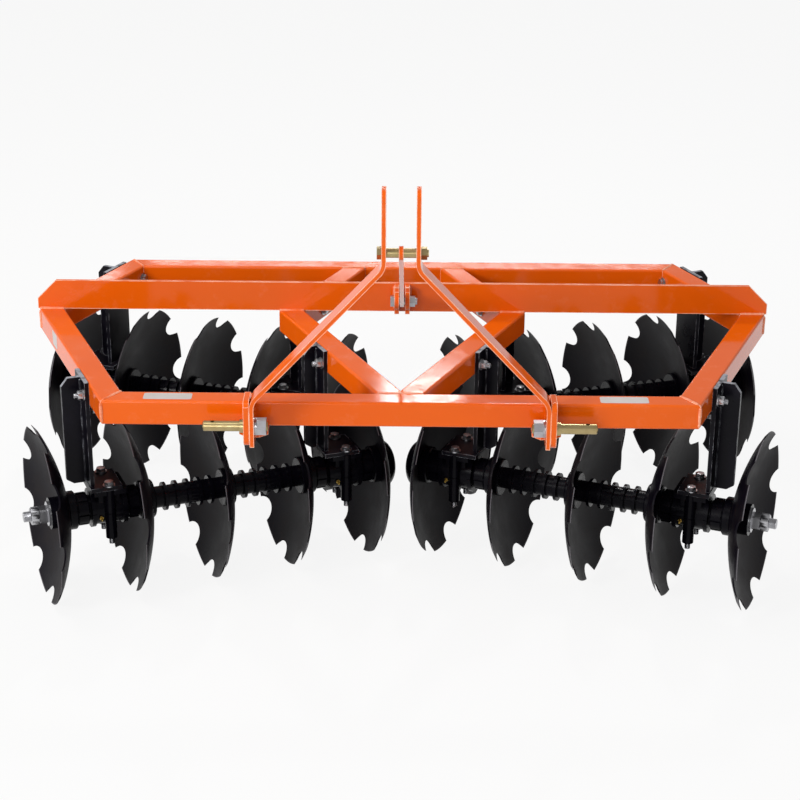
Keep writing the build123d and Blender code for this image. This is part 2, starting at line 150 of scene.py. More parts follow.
floor_paint, tree, shader = new_material("matt white studio floor")
plug(tree, shader, {
    "Base Color": linear(floor_colour), "Roughness": floor_roughness, "Specular IOR Level": 0.0})
share = add(tree, "ShaderNodeMath", {0: seen_directly(tree), 1: floor_white_share}, operation="MULTIPLY")
white = add(tree, "ShaderNodeEmission", {"Color": (1, 1, 1, 1), "Strength": 1.0})
sweep = add(tree, "ShaderNodeMixShader", {
    0: share.outputs["Value"], 1: shader.outputs["BSDF"], 2: white.outputs["Emission"]})
plug(tree, tree.nodes["Material Output"], {"Surface": sweep.outputs["Shader"]})
floor_corners = [(-floor_half, -floor_half, 0), (floor_half, -floor_half, 0),
                 (floor_half, floor_half, 0), (-floor_half, floor_half, 0)]
floor = put("floor", floor_corners, [(0, 1, 2, 3)], floor_paint, smooth=False)

world = bpy.data.worlds.new("studio")
world.use_nodes = True
bpy.context.scene.world = world
plug(world.node_tree, world.node_tree.nodes["Background"], {
    "Color": linear(world_colour), "Strength": world_level})

LAMPS = (
    # name, place, what it points at, width, depth, watts
    ("key from the front left", (-8.2, -7.0, 5.0), (0.0, 0.0, 0.4), 2.4, 2.4, 600),
    ("front panel", (-2.0, -9.0, 3.2), (0.0, 0.0, 0.5), 3.0, 2.4, 170),
    ("overhead panel", (-2.2, -1.2, 5.4), (0.0, 0.1, 0.4), 4.0, 2.0, 95),
    ("high lamp behind", (0.6, 3.6, 4.4), (0.0, 0.0, 0.3), 0.35, 0.35, 70),
    ("window behind", (0.12, 8.8, 4.42), (0.0, -0.4, 0.6), 0.62, 0.28, 8),
    ("left window behind", (-2.40, 8.8, 3.42), (-0.9, 0.3, 0.6), 0.30, 0.22, 1.0),
    ("strip behind", (0.0, 8.8, 3.315), (0.0, 0.55, 0.6), 4.0, 0.05, 7),
)
for name, place, aim, width, depth, watts in LAMPS:
    lamp_data = bpy.data.lights.new(name, "AREA")
    lamp_data.shape = "RECTANGLE"
    lamp_data.size = width
    lamp_data.size_y = depth
    lamp_data.energy = watts
    lamp = bpy.data.objects.new(name, lamp_data)
    towards = Vector(aim) - Vector(place)
    lamp.matrix_world = Matrix.Translation(place) @ towards.to_track_quat("-Z", "Y").to_matrix().to_4x4()
    bpy.context.collection.objects.link(lamp)


# Frame of square tube and plate: mild steel, welded and sprayed with glossy orange enamel.
# The spray dries to a faint orange-peel ripple, with slow changes of tone and a few dusty patches.
# Along the edges a paler colour is painted on as a highlight.
enamel_colour = "E86208"
enamel_deep = "DE5808"
enamel_tone = 0.35
enamel_roughness = 0.08
enamel_specular = 0.25
peel_size = 0.004
peel_height = 0.00005

# Dust: its colour, the size of its patches, where in their noise it starts and is full, and how far
# it covers and dulls the enamel
enamel_dust = "E98154"
enamel_patch = 0.055
dust_low, dust_high = 0.56, 0.80
dust_cover = 0.35
dull_low, dull_high = 0.48, 0.80
dull_gain = 0.2

# Edges: the cosines of the bend at which a face still counts as flat and fully as an edge
flat_likeness = 0.995
edge_likeness = 0.92
# Painted highlight: the pale colour mixed in along the frame's edges
enamel_edge_highlight = "FFD6BA"
enamel_highlight_width = 0.004
enamel_highlight_breaks = (0.25, 0.55)


def coat(node, material):
    """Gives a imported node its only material."""
    mesh = frame["nodes"][node].data
    mesh.materials.clear()
    mesh.materials.append(material)


def coat_slot(slot, material):
    """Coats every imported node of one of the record's slots."""
    for subpart in frame["record"]["subparts"]:
        if subpart["material_slot"] == slot:
            coat(subpart["node"], material)


def near_an_edge(tree, width, patch, least, most):
    """0 on flat faces, up to 1 within a width of an edge, broken up by a noise from least to most."""
    rounded = add(tree, "ShaderNodeBevel", {"Radius": width}, samples=6)
    flat = add(tree, "ShaderNodeNewGeometry")
    likeness = add(tree, "ShaderNodeVectorMath", {
        0: rounded.outputs["Normal"], 1: flat.outputs["True Normal"]}, operation="DOT_PRODUCT")
    bent = add(tree, "ShaderNodeMapRange", {
        "Value": likeness.outputs["Value"], "From Min": flat_likeness, "From Max": edge_likeness})
    place = add(tree, "ShaderNodeTexCoord").outputs["Object"]
    breaks = add(tree, "ShaderNodeTexNoise", {"Vector": place, "Scale": 1 / patch, "Detail": 5.0})
    kept = add(tree, "ShaderNodeMapRange", {
        "Value": breaks.outputs["Fac"], "From Min": least, "From Max": most})
    near = add(tree, "ShaderNodeMath", {
        0: bent.outputs["Result"], 1: kept.outputs["Result"]}, operation="MULTIPLY")
    return near.outputs["Value"]


def make_orange_enamel():
    """A slow noise mixes two oranges, a finer one dusts and dulls them, and a ripple is the bump."""
    material, tree, shader = new_material("glossy orange enamel")
    place = add(tree, "ShaderNodeTexCoord").outputs["Object"]
    tone = add(tree, "ShaderNodeTexNoise", {"Vector": place, "Scale": 1 / enamel_tone, "Detail": 3.0})
    body = add(tree, "ShaderNodeMix", {
        0: tone.outputs["Fac"], 6: linear(enamel_deep), 7: linear(enamel_colour)}, data_type="RGBA")
    dust = add(tree, "ShaderNodeTexNoise", {
        "Vector": place, "Scale": 1 / enamel_patch, "Detail": 6.0, "Roughness": 0.7})
    cover = add(tree, "ShaderNodeMapRange", {
        "Value": dust.outputs["Fac"], "From Min": dust_low, "From Max": dust_high, "To Max": dust_cover})
    dusted = add(tree, "ShaderNodeMix", {
        0: cover.outputs["Result"], 6: body.outputs[2], 7: linear(enamel_dust)}, data_type="RGBA")
    gloss = add(tree, "ShaderNodeMapRange", {
        "Value": dust.outputs["Fac"], "From Min": dull_low, "From Max": dull_high,
        "To Min": enamel_roughness, "To Max": enamel_roughness + dull_gain})
    peel = add(tree, "ShaderNodeTexNoise", {"Vector": place, "Scale": 1 / peel_size, "Detail": 1.0})
    ripple = add(tree, "ShaderNodeBump", {
        "Height": peel.outputs["Fac"], "Distance": peel_height, "Strength": 0.5})
    # A painted highlight: pale colour near the edges, broken up by a noise
    edge = near_an_edge(tree, enamel_highlight_width, enamel_patch, *enamel_highlight_breaks)
    edge_highlighted = add(tree, "ShaderNodeMix", {
        0: edge, 6: dusted.outputs[2], 7: linear(enamel_edge_highlight)}, data_type="RGBA")
    plug(tree, shader, {
        "Base Color": edge_highlighted.outputs[2], "Roughness": gloss.outputs["Result"],
        "Normal": ripple.outputs["Normal"], "Specular IOR Level": enamel_specular})
    return material


orange_enamel = make_orange_enamel()
coat_slot("orange_paint", orange_enamel)


# Hangers, bearing housings, spools and bells: steel plate and rough castings in satin black paint.
# Castings show a sand grain, plate only a spray texture, and dust greys both a little.
# Both grains are drawn coarser than real ones, so that they show.
BLACKS = (
    # slot, name, colour, dusty colour, roughness, specular level, grain size, grain height
    ("black_paint", "satin black paint on plate", "0A0810", "1E1C24", 0.30, 0.12, 0.003, 0.00005),
    ("black_casting", "satin black paint on sand casting", "06050B", "1B191E", 0.22, 0.07, 0.0024, 0.00016),
)
black_patch = 0.11
black_dust_low, black_dust_high = 0.48, 0.75
black_dust_cover = 0.55
black_dull_low, black_dull_high = 0.35, 0.75
black_gloss_gain, black_dull_gain = 0.06, 0.18

# Red primer that shows on the hangers' feet, between two heights
primer_colour = "2C100D"
primer_low, primer_high = 0.324, 0.339
primer_patch = 0.02
primer_worn_low, primer_worn_high = 0.56, 0.70
primer_cover = 0.5

# Bare steel at the hangers' tops, on faces that look upwards, and along the edges
scrape_colour = "9A9CA3"
scrape_low = 0.62
scrape_up_low, scrape_up_high = 0.3, 0.5
scrape_patch = 0.025
scrape_worn_low, scrape_worn_high = 0.30, 0.52
scrape_cover = 0.9
scrape_edge_width = 0.002
scrape_edge_breaks = (0.4, 0.6)


def make_black(name, colour, dusty, roughness, specular, grain_size, grain_height):
    """Satin black: a noise spreads dust over the colour and the gloss, a grain gives the bump."""
    material, tree, shader = new_material(name)
    place = add(tree, "ShaderNodeTexCoord").outputs["Object"]
    dust = add(tree, "ShaderNodeTexNoise", {
        "Vector": place, "Scale": 1 / black_patch, "Detail": 8.0, "Roughness": 0.68})
    cover = add(tree, "ShaderNodeMapRange", {
        "Value": dust.outputs["Fac"], "From Min": black_dust_low, "From Max": black_dust_high,
        "To Max": black_dust_cover})
    body = add(tree, "ShaderNodeMix", {
        0: cover.outputs["Result"], 6: linear(colour), 7: linear(dusty)}, data_type="RGBA")
    gloss = add(tree, "ShaderNodeMapRange", {
        "Value": dust.outputs["Fac"], "From Min": black_dull_low, "From Max": black_dull_high,
        "To Min": roughness - black_gloss_gain, "To Max": roughness + black_dull_gain})
    grain = add(tree, "ShaderNodeTexNoise", {"Vector": place, "Scale": 1 / grain_size, "Detail": 3.0})
    bump = add(tree, "ShaderNodeBump", {"Height": grain.outputs["Fac"], "Distance": grain_height})
    plug(tree, shader, {
        "Base Color": body.outputs[2], "Roughness": gloss.outputs["Result"],
        "Normal": bump.outputs["Normal"], "Specular IOR Level": specular})
    return material


def lay_over(material, amount, colour):
    """Mixes another colour over a material's own, by an amount from 0 to 1."""
    tree = material.node_tree
    shader = tree.nodes["Principled BSDF"]
    painted = shader.inputs["Base Color"].links[0].from_socket
    mixed = add(tree, "ShaderNodeMix", {0: amount, 6: painted, 7: linear(colour)}, data_type="RGBA")
    plug(tree, shader, {"Base Color": mixed.outputs[2]})


def bare_the_primer(material):
    """Where spanners have turned on the hangers' feet, a noise between two heights lets primer show."""
    tree = material.node_tree
    place = add(tree, "ShaderNodeTexCoord").outputs["Object"]
    height = add(tree, "ShaderNodeSeparateXYZ", {"Vector": place}).outputs["Z"]
    above = add(tree, "ShaderNodeMath", {0: height, 1: primer_low}, operation="GREATER_THAN")
    below = add(tree, "ShaderNodeMath", {0: height, 1: primer_high}, operation="LESS_THAN")
    on_foot = add(tree, "ShaderNodeMath", {
        0: above.outputs["Value"], 1: below.outputs["Value"]}, operation="MULTIPLY")
    worn = add(tree, "ShaderNodeTexNoise", {"Vector": place, "Scale": 1 / primer_patch, "Detail": 6.0})
    patches = add(tree, "ShaderNodeMapRange", {
        "Value": worn.outputs["Fac"], "From Min": primer_worn_low, "From Max": primer_worn_high,
        "To Max": primer_cover})
    amount = add(tree, "ShaderNodeMath", {
        0: on_foot.outputs["Value"], 1: patches.outputs["Result"]}, operation="MULTIPLY")
    lay_over(material, amount.outputs["Value"], primer_colour)


def scrape_the_edges(material):
    """Grey steel through the paint: on faces that look up at the hangers' tops, and along the edges."""
    tree = material.node_tree
    place = add(tree, "ShaderNodeTexCoord").outputs["Object"]
    height = add(tree, "ShaderNodeSeparateXYZ", {"Vector": place}).outputs["Z"]
    normal = add(tree, "ShaderNodeNewGeometry").outputs["Normal"]
    looks_up = add(tree, "ShaderNodeSeparateXYZ", {"Vector": normal}).outputs["Z"]
    high = add(tree, "ShaderNodeMath", {0: height, 1: scrape_low}, operation="GREATER_THAN")
    up = add(tree, "ShaderNodeMapRange", {
        "Value": looks_up, "From Min": scrape_up_low, "From Max": scrape_up_high})
    scraped = add(tree, "ShaderNodeTexNoise", {"Vector": place, "Scale": 1 / scrape_patch, "Detail": 5.0})
    patches = add(tree, "ShaderNodeMapRange", {
        "Value": scraped.outputs["Fac"], "From Min": scrape_worn_low, "From Max": scrape_worn_high,
        "To Max": scrape_cover})
    top = add(tree, "ShaderNodeMath", {
        0: high.outputs["Value"], 1: up.outputs["Result"]}, operation="MULTIPLY")
    flat = add(tree, "ShaderNodeMath", {
        0: top.outputs["Value"], 1: patches.outputs["Result"]}, operation="MULTIPLY")
    edge = near_an_edge(tree, scrape_edge_width, scrape_patch, *scrape_edge_breaks)
    amount = add(tree, "ShaderNodeMath", {0: flat.outputs["Value"], 1: edge}, operation="MAXIMUM")
    lay_over(material, amount.outputs["Value"], scrape_colour)


blacks = {slot: make_black(*finish) for slot, *finish in BLACKS}
bare_the_primer(blacks["black_paint"])
scrape_the_edges(blacks["black_paint"])
for slot, material in blacks.items():
    coat_slot(slot, material)


# Discs: pressed boron steel, dished and tempered, sprayed satin black.
# Pressing leaves faint rings about the shaft. A paler line at the cutting edge is a painted highlight, and pale
# blotches are painted sheen.
# The rings are drawn wider than real ones, so that they show.
disc_colour = "0B0810"
disc_specular = 0.07
disc_roughness = 0.4
disc_dull_low, disc_dull_high = 0.3, 0.8
disc_gloss_gain, disc_dull_gain = 0.06, 0.2
disc_patch = 0.14
# Painted sheen: pale blotches spread by a noise over the discs' black
disc_sheen = "2B2624"
disc_sheen_low, disc_sheen_high = 0.45, 0.80
disc_sheen_cover = 0.7
disc_radius = 0.255
# Painted highlight: a pale line along the cutting edge
disc_edge_highlight = "7A777C"
disc_highlight_width = 0.004
disc_highlight_cover = 0.7
ring_spacing = 0.006
ring_height = 0.00003


def make_disc_steel(joint):
    """Satin disc paint about a gang's own shaft: rings by distance from it, and pale blotches of painted sheen."""
    material, tree, shader = new_material(f"satin disc paint {joint['child']}")
    axis = Vector(joint["axis"]).normalized()
    turn = axis.rotation_difference(Vector((0, 0, 1)))
    centre = turn.to_matrix() @ Vector(joint["pos_m"])
    place = add(tree, "ShaderNodeTexCoord").outputs["Object"]
    local = add(tree, "ShaderNodeMapping", {
        "Vector": place, "Rotation": turn.to_euler(), "Location": -centre})
    axes = add(tree, "ShaderNodeSeparateXYZ", {"Vector": local.outputs["Vector"]})
    flat = add(tree, "ShaderNodeCombineXYZ", {"X": axes.outputs["X"], "Y": axes.outputs["Y"]})
    reach = add(tree, "ShaderNodeVectorMath", {0: flat.outputs["Vector"]}, operation="LENGTH")
    blotch = add(tree, "ShaderNodeTexNoise", {
        "Vector": local.outputs["Vector"], "Scale": 1 / disc_patch, "Detail": 7.0, "Roughness": 0.65})
    # Pale blotches of painted sheen, where the noise is high
    sheen_amount = add(tree, "ShaderNodeMapRange", {
        "Value": blotch.outputs["Fac"], "From Min": disc_sheen_low, "From Max": disc_sheen_high,
        "To Max": disc_sheen_cover})
    body = add(tree, "ShaderNodeMix", {
        0: sheen_amount.outputs["Result"], 6: linear(disc_colour), 7: linear(disc_sheen)}, data_type="RGBA")
    # The pale line at the cutting edge is a painted highlight.
    edge = add(tree, "ShaderNodeMapRange", {
        "Value": reach.outputs["Value"], "From Min": disc_radius - disc_highlight_width,
        "From Max": disc_radius, "To Max": disc_highlight_cover})
    colour = add(tree, "ShaderNodeMix", {
        0: edge.outputs["Result"], 6: body.outputs[2], 7: linear(disc_edge_highlight)}, data_type="RGBA")
    gloss = add(tree, "ShaderNodeMapRange", {
        "Value": blotch.outputs["Fac"], "From Min": disc_dull_low, "From Max": disc_dull_high,
        "To Min": disc_roughness - disc_gloss_gain, "To Max": disc_roughness + disc_dull_gain})
    rings = add(tree, "ShaderNodeMath", {
        0: reach.outputs["Value"], 1: 2 * pi / ring_spacing}, operation="MULTIPLY")
    wave = add(tree, "ShaderNodeMath", {0: rings.outputs["Value"]}, operation="SINE")
    bump = add(tree, "ShaderNodeBump", {"Height": wave.outputs["Value"], "Distance": ring_height})
    plug(tree, shader, {
        "Base Color": colour.outputs[2], "Roughness": gloss.outputs["Result"],
        "Normal": bump.outputs["Normal"], "Specular IOR Level": disc_specular})
    return material


for joint in frame["joints"]:
    coat(joint["child"].replace("gang", "discs"), make_disc_steel(joint))


# Pins, bolts, nuts and washers: turned or forged steel, zinc plated, some passivated to a yellow sheen.
# The plating is metallic and fairly smooth, with cloudy patches where the bath has dried on it.
ZINCS = (
    # slot, name, colour, cloudy colour, roughness
    ("yellow_zinc", "yellow passivated zinc", "C2B084", "988558", 0.30),
    ("bright_zinc", "bright zinc plate", "C9C9CC", "9A9A9E", 0.30),
)
zinc_cloud = 0.02
zinc_gloss_gain, zinc_dull_gain = 0.08, 0.12


def make_zinc(name, colour, cloudy, roughness):
    """Zinc plate: metal whose colour and gloss drift with a small cloudy noise."""
    material, tree, shader = new_material(name)
    place = add(tree, "ShaderNodeTexCoord").outputs["Object"]
    cloud = add(tree, "ShaderNodeTexNoise", {"Vector": place, "Scale": 1 / zinc_cloud, "Detail": 5.0})
    body = add(tree, "ShaderNodeMix", {
        0: cloud.outputs["Fac"], 6: linear(colour), 7: linear(cloudy)}, data_type="RGBA")
    gloss = add(tree, "ShaderNodeMapRange", {
        "Value": cloud.outputs["Fac"],
        "To Min": roughness - zinc_gloss_gain, "To Max": roughness + zinc_dull_gain})
    plug(tree, shader, {
        "Base Color": body.outputs[2], "Roughness": gloss.outputs["Result"], "Metallic": 1.0})
    return material


zincs = {slot: make_zinc(*finish) for slot, *finish in ZINCS}
for slot, material in zincs.items():
    coat_slot(slot, material)


# Hanger bolts: two through the tube at every hanger, one each side of its rib, of zinc-plated steel.
# The nut, washer and thread end stand on the hanger's side plate, the head on the bar's inner face.
bolt_flats = 0.024
bolt_corner_bevel = 0.002
bolt_radius = 0.008
nut_height = 0.0148
head_height = 0.010
washer_radius = 0.017
washer_height = 0.003
thread_pitch = 0.0025
thread_depth = 0.0011
thread_tip = 0.010
thread_steps = 6
side_plate = 0.012
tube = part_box("front_bar")[1][2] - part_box("front_bar")[0][2]
hanger_bolt_drop = 0.005
hanger_bolt_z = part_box("front_bar")[1][2] - tube / 2 - hanger_bolt_drop
hanger_bolt_along = 0.043
SIDES = (("left", -1), ("right", 1))


def skin(rings):
    """Points and triangles of a closed tube: rings joined row to row, each end fanned to its middle."""
    rows, around = rings.shape[:2]
    points = np.concatenate([rings.reshape(-1, 3), rings[[0, -1]].mean(axis=1)])
    row, step = np.meshgrid(np.arange(rows - 1), np.arange(around), indexing="ij")
    near = row * around + step
    after = row * around + (step + 1) % around
    quads = np.stack([near, after, after + around, near + around], -1).reshape(-1, 4)
    step = np.arange(around)
    after = (step + 1) % around
    last = (rows - 1) * around
    start = np.stack([after, step, np.full(around, rows * around)], -1)
    end = np.stack([last + step, last + after, np.full(around, rows * around + 1)], -1)
    return points, np.concatenate([quads[:, [0, 1, 2]], quads[:, [0, 2, 3]], start, end])


def turned(profile, flats=0.0, around=48, sides=6):
    """Rings about +Z through (height, radius) rows; with flats, none reaches past that polygon's sides."""
    angle = np.linspace(0, 2 * pi, around, endpoint=False)
    height, radius = np.array(profile, float).T
    reach = np.repeat(radius[:, None], around, axis=1)
    if flats:
        from_middle = (angle + pi / sides) % (2 * pi / sides) - pi / sides
        reach = np.minimum(reach, flats / 2 / np.cos(from_middle))
    return skin(np.stack([reach * np.cos(angle), reach * np.sin(angle), height[:, None] + 0 * reach], -1))


def hexagon(low, high, flats, bevel):
    """A bolt head or nut: a hexagon whose corners are turned down to a cone at both ends."""
    corner = flats / 2 / cos(pi / 6)
    rim = flats / 2 - bevel / 4
    return turned([(low, rim), (low + bevel / 2, corner), (high - bevel / 2, corner), (high, rim)], flats)


def thread(low, high, radius, pitch, depth, around=24):
    """A screw thread: radius less depth times a wave of height and angle, tapering at the tip."""
    height = np.linspace(low, high, int((high - low) / pitch * thread_steps) + 2)[:, None]
    angle = np.linspace(0, 2 * pi, around, endpoint=False)[None, :]
    wave = 0.5 - 0.5 * np.cos(2 * pi * height / pitch - angle)
    reach = radius - depth * wave - np.clip(height - (high - depth), 0, None)
    return skin(np.stack([reach * np.cos(angle), reach * np.sin(angle), height + 0 * angle], -1))


def stood(shell, origin, axis, spin=0.0):
    """A surface made about +Z: spun about it, turned along an axis and moved to its origin."""
    points, faces = shell
    turn = Vector((0, 0, 1)).rotation_difference(Vector(axis)).to_matrix() @ Matrix.Rotation(spin, 3, "Z")
    return points @ np.array(turn).T + np.array(origin, float), faces


def joined(shells):
    """Several closed surfaces as one: their points stacked, their faces renumbered."""
    starts = np.cumsum([0] + [len(points) for points, faces in shells[:-1]])
    return (np.concatenate([points for points, faces in shells]),
            np.concatenate([faces + start for (points, faces), start in zip(shells, starts)]))


def on_washer(height):
    """A bolt head or nut of this height on its washer, standing on the plane z = 0."""
    return joined([
        turned([(0, washer_radius), (washer_height, washer_radius)]),
        hexagon(washer_height, washer_height + height, bolt_flats, bolt_corner_bevel),
    ])


def middle(node):
    """The middle of a node's box, as an array."""
    low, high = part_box(node)
    return (np.array(low) + np.array(high)) / 2


# Corners of the frame on its right-hand side, and where the inner bars meet the front and rear bars
front_x, front_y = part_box("front_bar")[1][0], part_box("front_bar")[0][1]
rear_x, rear_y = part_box("rear_bar")[1][:2]
wide_x, wide_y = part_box("front_side_bar_right")[1][:2]
inner_wide_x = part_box("front_inner_bar_right")[1][0]
inner_front_x = 0.064
inner_rear_x = 0.197
HANGER_BARS = (
    # row, place, one end's x and y, the other end's x and y, along the bar's outer face
    ("front", "outer", (front_x, front_y), (wide_x, wide_y)),
    ("front", "inner", (inner_front_x, front_y + tube), (inner_wide_x, wide_y)),
    ("rear", "outer", (rear_x, rear_y), (wide_x, wide_y)),
    ("rear", "inner", (inner_rear_x, rear_y - tube), (inner_wide_x, wide_y)),
)
hangers = []
for row, place, (x_start, y_start), (x_end, y_end) in HANGER_BARS:
    for side, way in SIDES:
        bearing_y = middle(f"housing_{row}_{place}_{side}")[1]
        slope = (x_end - x_start) / (y_end - y_start)
        turn = atan2(slope, 1)
        hangers.append({
            "face": np.array([way * (x_start + slope * (bearing_y - y_start)), bearing_y, 0]),
            "out": np.array([way * cos(turn), -sin(turn), 0]),
            "along": np.array([way * sin(turn), cos(turn), 0]),
        })

head_end = on_washer(head_height)
nut_top = washer_height + nut_height
nut_thread = thread(nut_top - thread_depth, nut_top + thread_tip, bolt_radius, thread_pitch, thread_depth)
nut_end = joined([on_washer(nut_height), nut_thread])
shells = []
for hanger in hangers:
    for way in (-1, 1):
        bolt = hanger["face"] + way * hanger_bolt_along * hanger["along"] + np.array([0, 0, hanger_bolt_z])
        shells.append(stood(nut_end, bolt + side_plate * hanger["out"], hanger["out"]))
        shells.append(stood(head_end, bolt - tube * hanger["out"], -hanger["out"]))
hanger_bolts = put("hanger_bolts", *joined(shells), zincs["bright_zinc"])
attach(hanger_bolts, "frame")


# Housing bolts: long zinc-plated bolts in front of and behind the shaft, down through both halves.
# Each has its head and washer on the hanger's foot, and its threaded end shows below the casting's column.
long_bolt_offset = 0.050
long_bolt_low = 0.020


def gang_line(joint):
    """A gang's name, its row and side, and the unit direction of its shaft, from its joint."""
    gang = joint["child"].replace("gang_", "")
    row, side = gang.split("_")
    return gang, row, side, np.array(joint["axis"]) / np.linalg.norm(joint["axis"])


low_end = thread(0, long_bolt_low, bolt_radius, thread_pitch, thread_depth)
housings = []
shells = []
for joint in frame["joints"]:
    gang, row, side, axis = gang_line(joint)
    across = np.array([-axis[1], axis[0], 0])
    across *= -np.sign(across[1])
    for place in ("outer", "inner"):
        name = f"housing_{row}_{place}_{side}"
        centre = middle(name) * (1, 1, 0)
        column_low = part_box(name)[0][2]
        foot_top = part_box(f"hanger_{row}_{place}_{side}")[0][2] + side_plate
        housings.append((centre, axis, across, joint["pos_m"][2]))
        for way in (-1, 1):
            long_bolt = centre + way * long_bolt_offset * across
            shells.append(stood(head_end, long_bolt + np.array([0, 0, foot_top]), (0, 0, 1)))
            shells.append(stood(low_end, long_bolt + np.array([0, 0, column_low]), (0, 0, -1)))
housing_bolts = put("housing_bolts", *joined(shells), zincs["bright_zinc"])
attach(housing_bolts, "frame")


# Grease nipples: small turned brass fittings screwed into the front of every bearing housing's barrel.
# Each has a hexagon against the casting, a waisted neck and a round head, a little below the shaft.
barrel_radius = 0.050
nipple_side = -0.026
nipple_drop = -0.014
nipple_flats = 0.011
nipple_bevel = 0.001
nipple_low, nipple_shoulder = -0.003, 0.005
nipple_profile = [(0.004, 0.0034), (0.006, 0.0026), (0.009, 0.0024), (0.011, 0.0036), (0.013, 0.0038),
                  (0.0148, 0.0026), (0.0155, 0.0010)]
brass_colour = "B79A4E"
brass_dull = "8A7038"
brass_roughness = 0.3
nipple = joined([hexagon(nipple_low, nipple_shoulder, nipple_flats, nipple_bevel),
                 turned(nipple_profile, around=20)])
shells = []
for centre, axis, across, shaft_z in housings:
    along = axis * np.sign(axis[0]) * nipple_side
    ahead = np.sqrt(barrel_radius ** 2 - nipple_drop ** 2)
    reach = (across * ahead + np.array([0, 0, nipple_drop])) / barrel_radius
    shells.append(stood(nipple, centre + np.array([0, 0, shaft_z]) + along + barrel_radius * reach, reach))
brass = make_zinc("turned brass", brass_colour, brass_dull, brass_roughness)
grease_nipples = put("grease_nipples", *joined(shells), brass)
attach(grease_nipples, "frame")


# Gang bars: a square bar of cold-drawn steel through each gang, zinc plated, with a threaded stub.
# At the gang's hollow end the stub carries a hexagon nut, over a square collar and the washer that
# presses on the outer disc.
square_bar = 0.030
stub_radius = 0.015
stub_pitch = 0.003
stub_depth = 0.0012
stub_length = 0.020
clamp_flats = 0.046
clamp_length = 0.024
clamp_bevel = 2 * bolt_corner_bevel
collar_flats = 0.040
collar_round = 0.0255
washer_start = 0.067
bar_washer_radius = 0.035
bar_washer_height = 0.006
nut_start = stub_length + clamp_length
for joint in frame["joints"]:
    gang, row, side, axis = gang_line(joint)
    way = {"left": -1, "right": 1}[side]
    outward = axis * (way if row == "front" else -way)
    low, high = np.array(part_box(f"gang_bar_{gang}"))
    length = (high[0] - low[0] - 2 * stub_radius * abs(outward[1])) / abs(outward[0])
    shaft = np.array(joint["pos_m"])
    tip = shaft + outward * (((low[0] + high[0]) / 2 - shaft[0]) / outward[0] + length / 2)
    upright = atan2(outward[1], outward[0])
    square = [
        turned([(-length, square_bar), (-washer_start, square_bar)], square_bar, sides=4),
        turned([(-washer_start, collar_round), (-nut_start, collar_round)], collar_flats, sides=4),
    ]
    aligned = stood(joined(square), (0, 0, 0), (0, 0, 1), upright)
    round_parts = [
        turned([(-washer_start - bar_washer_height, bar_washer_radius), (-washer_start, bar_washer_radius)]),
        hexagon(-nut_start, -stub_length, clamp_flats, clamp_bevel),
        thread(-stub_length - stub_depth, 0, stub_radius, stub_pitch, stub_depth, around=48),
    ]
    shell = stood(joined([aligned, *round_parts]), tip, outward)
    bar = put(f"threaded_bar_{gang}", *shell, zincs["bright_zinc"])
    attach(bar, joint["child"])
    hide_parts(f"gang_bar_{gang}")


# Weld beads: rippled fillets of weld metal under the same paint, laid wherever a bar or plate is joined.
# Each is a thin tube half sunk in its corner, swelling at every ripple and closing to a round end.
ripple_pitch = 0.0045
ripple_height = 0.13
ripple_steps = 4
end_steps = 6
blunt_end = 0.02
frame_bead = 0.0042
plate_bead = 0.0045
hanger_bead = 0.004
inset = 0.0015
corner_in = 0.006

# The hand's slow and quick sway: share of the radius, radians per metre along, and per metre of place
slow_sway, slow_wave, slow_start = 0.10, 61, 40
quick_sway, quick_wave, quick_start = 0.06, 143, 70


def bead(start, end, radius, around=8):
    """A tube from start to end: its radius times a ripple, a sway of the hand and a rounding at the ends."""
    start, end = np.array(start, float), np.array(end, float)
    length = np.linalg.norm(end - start)
    along = np.linspace(0, length, int(length / ripple_pitch * ripple_steps) + end_steps)[:, None]
    angle = np.linspace(0, 2 * pi, around, endpoint=False)[None, :]
    from_end = np.clip(np.minimum(along, length - along) / radius, 0, 1)
    rounding = np.sqrt(np.clip(1 - (1 - from_end) ** 2, blunt_end, 1))
    sway = (1 + slow_sway * np.sin(along * slow_wave + start[0] * slow_start)
            + quick_sway * np.sin(along * quick_wave + start[1] * quick_start))
    reach = radius * rounding * sway * (1 + ripple_height * np.abs(np.sin(pi * along / ripple_pitch)))
    rings = np.stack([reach * np.cos(angle), reach * np.sin(angle), along + 0 * angle], -1)
    return stood(skin(rings), start, (end - start) / length)


def mirrored(ends):
    """Pairs of bead ends on the right-hand side, each given again for the left."""
    return [tuple((way * x, y, z) for x, y, z in pair) for pair in ends for way in (1, -1)]


def upright_seam(x, y):
    """The ends of a bead down a tube's side, a little short of its rounded edges."""
    return (x, y, top_z - corner_in), (x, y, low_z + corner_in)


def level_seam(x_start, x_end, y, z):
    """The ends of a bead straight across the harrow."""
    return (x_start, y, z), (x_end, y, z)


# Slopes of the side bars and the inner bars, and the widths of their tubes measured across the harrow
top_z, low_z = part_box("front_bar")[1][2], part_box("front_bar")[0][2]
side_slope = (wide_x - front_x) / (wide_y - front_y)
side_width = tube * hypot(1, side_slope)
rear_slope = (wide_x - rear_x) / (rear_y - wide_y)
rear_width = tube * hypot(1, rear_slope)
inner_slope = (inner_wide_x - inner_front_x) / (wide_y - front_y - tube)
inner_width = tube * hypot(1, inner_slope)
rear_inner_slope = (inner_wide_x - inner_rear_x) / (rear_y - tube - wide_y)
rear_inner_width = tube * hypot(1, rear_inner_slope)
front_mitre_x = front_x + side_slope * tube - side_width
rear_mitre_x = rear_x + rear_slope * tube - rear_width
beam_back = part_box("middle_beam")[1][1]
beam_back_wide = wide_x - rear_slope * (beam_back - wide_y)
beam_back_inner = inner_wide_x - rear_inner_slope * (beam_back - wide_y)
seam_z = top_z - inset
